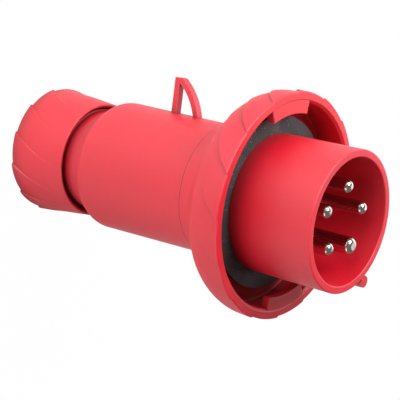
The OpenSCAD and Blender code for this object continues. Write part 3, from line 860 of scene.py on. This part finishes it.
@dataclass
class LockingRing:
    """The bayonet ring: a flared skin of swirled petals, a web inside and two lugs.

    The swirl is in degrees and millimetres behind the rim; every other length is in metres.
    """

    palette: Palette
    petals: GripPetals = GripPetals(16, math.radians(117.0), Side.RISING)
    petal_step: float = 1.2 * MM
    rim_share: float = 0.5
    grow: float = 7.0 * MM
    fade: float = 30.0 * MM
    fade_power: float = 0.8
    swirl_lean: float = 0.95
    swirl_curl: float = 0.0033
    swirl_knee: float = 16.0
    swirl_tail: float = 3.0
    swirl_end: float = 30.0
    skin_rows: int = 34
    inner_rows: int = 14
    max_radius: float = 52.0 * MM
    mouth_radius: float = 47.0 * MM
    mouth_bevel: float = 1.2 * MM
    bevel_soft: float = 0.15 * MM
    rim_round: float = 0.7 * MM
    rim_zone: float = 0.9 * MM
    crown_back: float = 5.5 * MM
    crown_radius: float = 19.8 * MM
    rear_radius: float = 30.68 * MM
    bearing_radius: float = 29.28 * MM
    bearing_length: float = 5.0 * MM
    bearing_play: float = 0.08 * MM
    web: float = 3.4 * MM
    web_fillet: float = 0.6 * MM
    gasket_gap: float = 3.3 * MM
    hub_radius: float = 32.28 * MM
    wall: float = 2.6 * MM
    lug_angles: tuple[float, float] = (100.5, 280.5)
    lug_span: float = 33.5
    lug_steps: int = 28
    lug_inner: float = 41.8 * MM
    lug_root: float = 0.2 * MM
    lug_thickness: float = 4.0 * MM
    lug_setback: float = 0.3 * MM
    lug_round: float = 0.4 * MM
    lug_bevel: float = 0.15 * MM

    def __post_init__(self) -> None:
        """Reads the ring's ends and the web's place from the frame."""
        low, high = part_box("bayonet_ring")
        self.rear, self.top = low[2], high[2]
        self.web_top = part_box("flange_gasket")[0][2] - self.gasket_gap
        self.length = self.top - self.rear
        self.crown = self.top - self.crown_back
        self.rise = self.crown - self.rear
        inset = self.rear_radius - self.max_radius + self.crown_radius
        square = self.rise**2 + inset**2 - self.crown_radius**2
        self.flare = square / (2 * (self.crown_radius - inset))

    def inside(self, height: float, depth: float) -> float:
        """Finds the ring's radius under its skin, where the crown and the flare meet smoothly.

        Args:
            height: where along the axis.
            depth: how deep under the skin.

        Returns:
            The radius.
        """
        if height > self.crown:
            return self.max_radius - depth
        meet = self.rear + self.rise * (self.flare + depth) / (self.flare + self.crown_radius)
        if height > meet:
            up = height - self.crown
            bow = math.sqrt((self.crown_radius - depth) ** 2 - up * up)
            return self.max_radius - self.crown_radius + bow
        up = height - self.rear
        return self.rear_radius + self.flare - math.sqrt((self.flare + depth) ** 2 - up * up)

    def outline(self, height: float) -> float:
        """Finds the skin's largest radius, with the rim's rounded edge.

        Args:
            height: where along the axis.

        Returns:
            The radius.
        """
        down = height - self.top + self.rim_round
        if down > 0:
            drop = math.sqrt(max(0.0, self.rim_round**2 - down * down))
            return self.max_radius - self.rim_round + drop
        return self.inside(height, 0.0)

    def sweep(self, back: float) -> float:
        """Finds how far a petal's edge has swept round.

        Args:
            back: the distance behind the rim.

        Returns:
            The angle in radians.
        """
        near = min(back / MM, self.swirl_knee)
        far = min(max(back / MM, self.swirl_knee), self.swirl_end) - self.swirl_knee
        curled = self.swirl_lean * near + self.swirl_curl * near**3
        return math.radians(curled + self.swirl_tail * far)

    def depth(self, back: float) -> float:
        """Returns the height of the step at a petal's edge, at a distance behind the rim."""
        grown = min(1.0, self.rim_share + (1 - self.rim_share) * back / self.grow)
        return self.petal_step * grown * max(0.0, 1 - back / self.fade) ** self.fade_power

    def section(self) -> list[Row]:
        """Lists the closed section, from the rear edge over the skin, the rim and the inside.

        Returns:
            The section's corners.
        """
        rows: list[Row] = []
        rims = [self.rim_round * (1 - math.sin(angle)) for angle in QUARTER_ARC]
        backs = [self.length * (1 - i / self.skin_rows) for i in range(self.skin_rows)]
        for back in [b for b in backs if b > self.rim_zone] + rims:
            height = self.top - back
            rows.append((self.outline(height), height, -self.sweep(back), self.depth(back)))
        soft, mouth, web_top = self.bevel_soft, self.mouth_radius, self.web_top
        bevel_out, bevel_low = mouth + self.mouth_bevel, self.top - self.mouth_bevel
        web_low = web_top - self.web
        plain = [
            (bevel_out + soft, self.top),
            (bevel_out - soft, self.top - soft),
            (mouth + soft, bevel_low + soft),
            (mouth, bevel_low - soft),
            (mouth, web_top + self.web_fillet),
            (mouth - self.web_fillet / 3, web_top + self.web_fillet / 3),
            (mouth - self.web_fillet, web_top),
            (self.hub_radius, web_top),
            (self.hub_radius, web_low),
        ]
        rows += [(radius, height, 0.0, 0.0) for radius, height in plain]
        bearing_top = self.rear + self.bearing_length
        turn = self.sweep(self.length)
        for i in range(self.inner_rows + 1):
            height = web_low + (bearing_top - web_low) * i / self.inner_rows
            inner = max(self.bearing_radius + self.bearing_play, self.inside(height, self.wall))
            rows.append((inner, height, -turn * (i + 1) / (self.inner_rows + 2), 0.0))
        rows.append((self.bearing_radius, bearing_top, -turn, 0.0))
        rows.append((self.bearing_radius, self.rear, -turn, 0.0))
        return rows

    def lug_slice(self, inset: float) -> list[tuple[float, float]]:
        """Lists the corners of one slice through a lug.

        Args:
            inset: how far its rounded edges have drawn in.

        Returns:
            Each corner's radius and height.
        """
        high = self.top - self.lug_setback
        low = high - self.lug_thickness
        outer = self.mouth_radius + self.mouth_bevel + self.lug_root
        inner = self.lug_inner + inset
        return [
            (inner + self.lug_round, low + inset),
            (inner, low + self.lug_round),
            (inner, high - self.lug_round),
            (inner + self.lug_bevel, high - self.lug_bevel),
            (inner + self.lug_round, high - inset),
            (outer, high - inset),
            (outer, low + inset),
        ]

    def lug(self, number: int, middle: float) -> bpy.types.Object:
        """Builds one bayonet lug as a sector with softened edges.

        Args:
            number: the lug's number.
            middle: the angle of its middle in degrees.

        Returns:
            The lug.
        """
        side = math.degrees(self.lug_round / self.lug_inner)
        first = middle - self.lug_span / 2
        angles = [first + self.lug_span * i / self.lug_steps for i in range(self.lug_steps + 1)]
        angles[1:1] = [angles[0] + side * 0.3, angles[0] + side]
        angles[-1:-1] = [angles[-1] - side, angles[-1] - side * 0.3]
        work = bmesh.new()
        slices = []
        for angle in angles:
            near = min(angle - angles[0], angles[-1] - angle)
            rest = max(0.0, 1 - near / side)
            corners = self.lug_slice(self.lug_round * (1 - math.sqrt(max(0.0, 1 - rest**2))))
            c, s = math.cos(math.radians(angle)), math.sin(math.radians(angle))
            slices.append([work.verts.new((r * c, r * s, z)) for r, z in corners])
        for one, other in zip(slices, slices[1:]):
            for i in range(len(one)):
                j = (i + 1) % len(one)
                work.faces.new((one[i], one[j], other[j], other[i]))
        work.faces.new(slices[0])
        work.faces.new(slices[-1][::-1])
        bmesh.ops.recalc_face_normals(work, faces=work.faces)
        mesh = bpy.data.meshes.new(f"lug_{number}")
        work.to_mesh(mesh)
        work.free()
        return add_object(mesh.name, mesh)

    def build(self, tree: GeometryTree) -> bpy.types.Object:
        """Makes the ring.

        Args:
            tree: the petal tree.

        Returns:
            The ring, riding on its body.
        """
        red = self.palette.finish["red_shell"]
        ring = self.petals.skin(tree, "locking_ring_shell", self.section(), red)
        join_pieces(ring, [self.lug(i + 1, angle) for i, angle in enumerate(self.lug_angles)])
        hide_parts("bayonet_ring")
        place_piece(ring, "locking_ring")
        return ring


@dataclass
class GlandNut:
    """The cable gland's nut: a cup with swirled grip petals and a thread inside."""

    palette: Palette
    petals: GripPetals = GripPetals(12, math.radians(101.5), Side.FALLING)
    thread: ScrewThread = ScrewThread(root=26.5 * MM, crest=25.35 * MM, turns=3.6)
    thread_base: float = 17.2 * MM
    petal_step: float = 0.9 * MM
    fade_power: float = 1.8
    sweep: float = math.radians(25.0)
    sweep_power: float = 1.6
    skin_rows: int = 26
    bore_rows: int = 5
    rear_radius: float = 32.0 * MM
    front_radius: float = 28.5 * MM
    bevel: float = 1.0 * MM
    hole_radius: float = 13.0 * MM
    hole_bevel: float = 0.3 * MM
    bore_radius: float = 26.3 * MM
    bore_turn: float = 0.9
    lip_radius: float = 27.4 * MM
    lip_length: float = 2.5 * MM
    lip_soft: float = 0.25 * MM
    rear_wall: float = 5.0 * MM

    def __post_init__(self) -> None:
        """Reads the nut's length from the frame."""
        low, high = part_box("gland_nut")
        self.rear = low[2]
        self.length = high[2] - self.rear

    def outline(self, height: float) -> float:
        """Finds the skin's largest radius, with the rear edge's round.

        Args:
            height: where along the axis.

        Returns:
            The radius.
        """
        if height < self.bevel:
            up = self.bevel - height
            return self.rear_radius - self.bevel + math.sqrt(max(0.0, self.bevel**2 - up * up))
        share = (height - self.bevel) / (self.length - self.bevel)
        return self.rear_radius + (self.front_radius - self.rear_radius) * share

    def section(self) -> list[Row]:
        """Lists the closed section, from the rear hole over the skin, the lip and the bore.

        Returns:
            The section's corners.
        """
        rows: list[Row] = [
            (self.hole_radius, self.rear_wall, 0.0, 0.0),
            (self.hole_radius, self.hole_bevel, 0.0, 0.0),
            (self.hole_radius + self.hole_bevel, self.rear, 0.0, 0.0),
        ]
        heights = [self.bevel * (1 - math.cos(angle)) for angle in QUARTER_ARC]
        straight = self.length - self.bevel
        heights += [self.bevel + straight * (i + 1) / self.skin_rows for i in range(self.skin_rows)]
        for height in heights:
            left = max(0.0, 1 - height / self.length)
            turn = self.sweep * (1 - left**self.sweep_power)
            step = self.petal_step * left**self.fade_power
            rows.append((self.outline(height), height, turn, step))
        end, soft, mouth = rows[-1][2], self.lip_soft, self.length - self.lip_length
        rows[-1] = (self.front_radius, self.length - soft, end, 0.0)
        rows.append((self.front_radius - soft, self.length, end, 0.0))
        rows.append((self.lip_radius + soft, self.length, end, 0.0))
        rows.append((self.lip_radius, self.length - soft, end, 0.0))
        for i in range(self.bore_rows + 1):
            share = i / self.bore_rows
            height = mouth + (self.rear_wall - mouth) * share
            rows.append((self.bore_radius, height, end * self.bore_turn * (1 - share), 0.0))
        return rows

    def build(self, petals: GeometryTree, threads: GeometryTree) -> bpy.types.Object:
        """Makes the nut.

        Args:
            petals: the petal tree.
            threads: the thread tree.

        Returns:
            The nut, riding on its body.
        """
        red = self.palette.finish["red_shell"]
        nut = self.petals.skin(petals, "gland_nut_shell", self.section(), red)
        join_pieces(nut, [self.thread.wind(threads, "gland_nut_thread", self.thread_base, red)])
        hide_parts("gland_nut")
        place_piece(nut, "gland_nut")
        return nut


@dataclass
class HousingNeck:
    """The thread moulded round the housing's neck, which the nut screws on to."""

    palette: Palette
    thread: ScrewThread = ScrewThread(root=24.8 * MM, crest=25.9 * MM, turns=5.6)
    thread_rise: float = 1.6 * MM

    def build(self, tree: GeometryTree) -> bpy.types.Object:
        """Makes the neck's thread.

        Args:
            tree: the thread tree.

        Returns:
            The thread, riding on the housing's body.
        """
        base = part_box("housing")[0][2] + self.thread_rise
        thread = self.thread.wind(tree, "neck_thread", base, self.palette.finish["red_shell"])
        place_piece(thread, "plug_body")
        return thread


class FrameParts:
    """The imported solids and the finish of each, by the record's material slots."""

    nodes: dict[str, tuple[str, ...]] = {
        "red_shell": ("housing", "shroud", "gland_nut", "bayonet_ring"),
        "gasket_rubber": ("flange_gasket",),
        "seal_rubber": ("cable_seal", "joint_seal", "pin_seals"),
        "nickel": ("contact_l1", "contact_l2", "contact_l3", "contact_neutral", "contact_earth"),
        "zinc_steel": ("carrier_screw", "terminal_screws", "earth_screws", "clamp_leaves"),
        "carrier_plastic": ("contact_carrier",),
        "cage_plastic": ("clamping_cage",),
        "slip_plastic": ("slip_ring",),
    }

    def __init__(self, palette: Palette) -> None:
        """Keeps the palette."""
        self.palette = palette

    def dress(self) -> None:
        """Puts each solid's finish into its material slots."""
        for slot, names in self.nodes.items():
            for name in names:
                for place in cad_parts[name].material_slots:
                    place.material = self.palette.finish[slot]
                LOG.info("dressed %s with %s", name, slot)


@dataclass(frozen=True)
class SoftLamp:
    """A square soft lamp, with its side in metres and its power in watts."""

    name: str
    place: Place
    side: float
    power: float

    def build(self, target: Place) -> None:
        """Adds the lamp.

        Args:
            target: the point that it faces.
        """
        data = bpy.data.lights.new(self.name, "AREA")
        data.shape = "SQUARE"
        data.size = self.side
        data.energy = self.power
        lamp = add_object(self.name, data)
        facing = Vector(target) - Vector(self.place)
        lamp.rotation_euler = facing.to_track_quat("-Z", "Y").to_euler()
        lamp.location = self.place


@dataclass
class Studio:
    """The pale floor, the soft lamps and the camera."""

    place: Place = (-0.42951, 0.08379, 0.43301)
    right: Place = (0.62638457, 0.12452656, 0.76950342)
    above: Place = (0.05127772, 0.97843714, -0.20007836)
    behind: Place = (-0.7778258, 0.16478438, 0.60649249)
    lens: float = 105.28
    sensor: float = 36.0
    nearest: float = 0.01
    ambient: float = 0.06
    mirrored: float = 0.16
    floor_half: float = 3.0
    floor_level: float = 0.86
    floor_roughness: float = 0.9
    floor_glow: float = 0.992
    target: Place = (0.0, 0.0, 0.1)
    lamps: tuple[SoftLamp, ...] = (
        SoftLamp("key_lamp", (-0.69, 0.58, 0.12), 0.8, 7.4),
        SoftLamp("top_lamp", (0.02, 0.52, 0.86), 0.5, 9.0),
        SoftLamp("low_lamp", (-0.66, -0.62, 0.14), 0.8, 4.2),
        SoftLamp("back_lamp", (0.70, 0.22, 0.24), 0.8, 3.6),
    )

    def camera(self) -> None:
        """Puts the camera at the viewing angle."""
        data = bpy.data.cameras.new("view")
        data.lens = self.lens
        data.sensor_width = self.sensor
        data.clip_start = self.nearest
        camera = add_object("view", data)
        columns = (self.right, self.above, self.behind, self.place)
        rows = [[column[row] for column in columns] for row in range(3)]
        camera.matrix_world = Matrix(rows + [[0, 0, 0, 1]])
        bpy.context.scene.camera = camera

    def floor(self) -> None:
        """Makes the pale floor, which shows white and keeps the shadow."""
        half = self.floor_half
        corners = [(-half, -half, 0), (half, -half, 0), (half, half, 0), (-half, half, 0)]
        mesh = bpy.data.meshes.new("floor")
        mesh.from_pydata(corners, [], [(0, 1, 2, 3)])
        floor = add_object("floor", mesh)
        material, graph, shader = new_material("Floor")
        shader.inputs["Roughness"].default_value = self.floor_roughness
        shader.inputs["Base Color"].default_value = (*grey(self.floor_level), 1.0)
        white = {"Color": (1.0, 1.0, 1.0, 1.0), "Strength": 1.0}
        glow = graph.add("ShaderNodeEmission", white).outputs[0]
        path = graph.add("ShaderNodeLightPath").outputs
        glossy, camera = path["Is Glossy Ray"], path["Is Camera Ray"]
        seen = graph.maths("MULTIPLY_ADD", glossy, self.mirrored, camera)
        share = graph.maths("MULTIPLY", seen, self.floor_glow)
        blend = graph.add("ShaderNodeMixShader", {0: share, 1: shader.outputs[0], 2: glow})
        graph.feed(material.node_tree.nodes["Material Output"], "Surface", blend.outputs[0])
        mesh.materials.append(material)

    def world(self) -> None:
        """Fills the room with soft even light and a white backdrop."""
        world = bpy.data.worlds.new("room")
        bpy.context.scene.world = world
        world.use_nodes = True
        world.node_tree.nodes.clear()
        graph = Graph(world.node_tree)
        path = graph.add("ShaderNodeLightPath").outputs
        seen = graph.maths("MAXIMUM", path["Is Camera Ray"], path["Is Transmission Ray"])
        seen = graph.maths("MULTIPLY_ADD", path["Is Glossy Ray"], self.mirrored, seen)
        strength = graph.maths("MULTIPLY_ADD", seen, 1 - self.ambient, self.ambient)
        white = {"Color": (1.0, 1.0, 1.0, 1.0), "Strength": strength}
        backdrop = graph.add("ShaderNodeBackground", white).outputs[0]
        graph.add("ShaderNodeOutputWorld", {0: backdrop})

    def build(self) -> None:
        """Sets up the whole studio."""
        bpy.context.scene.view_settings.view_transform = "Standard"
        self.camera()
        self.floor()
        self.world()
        for lamp in self.lamps:
            lamp.build(self.target)


def main() -> None:
    """Builds the classes in order."""
    logging.basicConfig(level=logging.INFO, format="%(name)s: %(message)s")
    palette = Palette()
    petals = petal_tree()
    threads = thread_tree()
    Studio().build()
    FrameParts(palette).dress()
    LockingRing(palette).build(petals)
    GlandNut(palette).build(petals, threads)
    HousingNeck(palette).build(threads)


if __name__ == "__main__":
    main()
